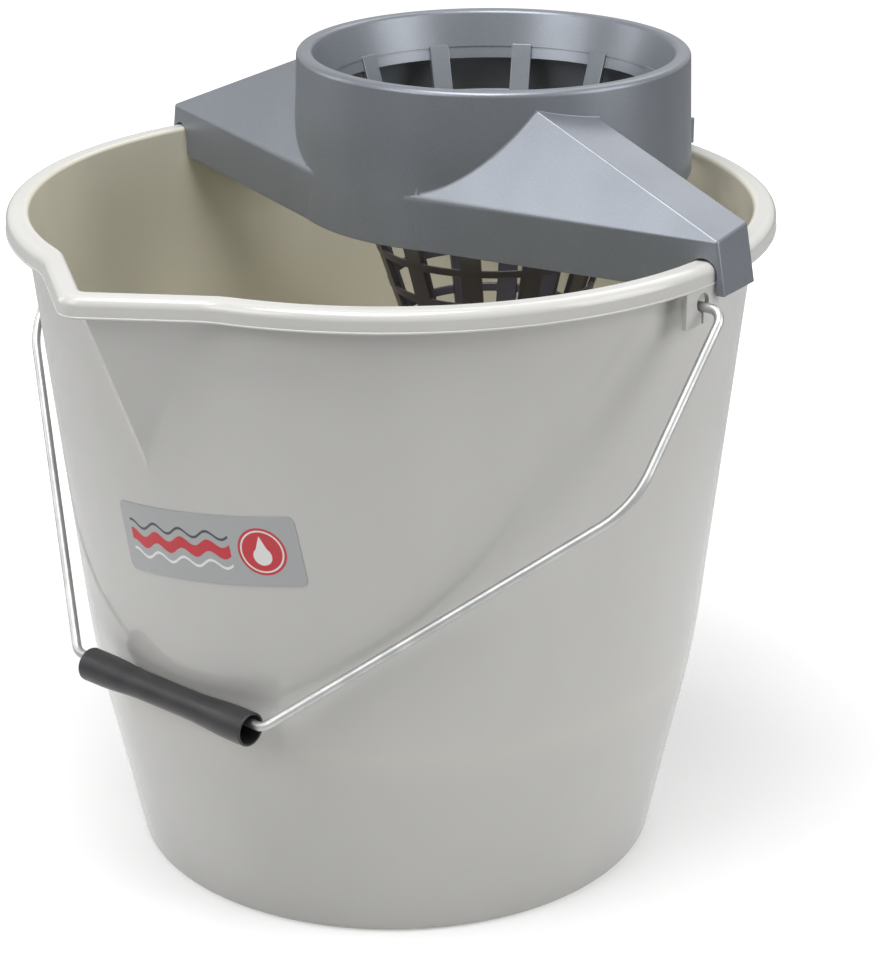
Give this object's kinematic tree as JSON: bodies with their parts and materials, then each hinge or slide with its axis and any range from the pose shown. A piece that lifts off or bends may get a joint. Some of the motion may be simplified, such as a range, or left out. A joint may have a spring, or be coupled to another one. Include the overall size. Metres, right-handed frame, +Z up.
{
  "type": "mop bucket with wringer",
  "caption": "Round tapered mop bucket with a pouring spout, a wire bail with a loose tube grip, and a lift-off slotted cone wringer that hooks over the rim.",
  "frame": {"origin": "middle of the bucket's flat base, on the floor", "axes": "+X through the two bail ears, -Y towards the pouring spout, +Z up"},
  "size_m": [0.353, 0.3599, 0.3494],
  "materials": {
    "bucket_plastic": "semi-gloss light warm grey polypropylene",
    "wringer_plastic": "semi-gloss metallic blue-grey polypropylene",
    "zinc_wire": "bright zinc plate",
    "grip_plastic": "black satin moulding",
    "label_film": null
  },
  "bodies": {
    "bucket": {"bucket": "bucket_plastic", "label": "label_film"},
    "bail": {"bail_wire": "zinc_wire"},
    "grip": {"grip": "grip_plastic"},
    "wringer": {"wringer_frame": "wringer_plastic", "wringer_basket": "wringer_plastic", "basket_floor": "wringer_plastic"}
  },
  "joints": [
    {"name": "bail_swing", "type": "hinge", "parent": "bucket", "child": "bail", "pos_m": [0, 0, 0.279], "axis": [-1, 0, 0], "range_deg": [0, 278]},
    {"name": "grip_spin", "type": "hinge", "parent": "bail", "child": "grip", "pos_m": [0.0023, -0.14491, 0.11029], "axis": [1, 0, 0], "continuous": true},
    {"name": "wringer_lift", "type": "slide", "parent": "bucket", "child": "wringer", "axis": [0, 0, 1], "range_m": [0, 0.12]}
  ]
}
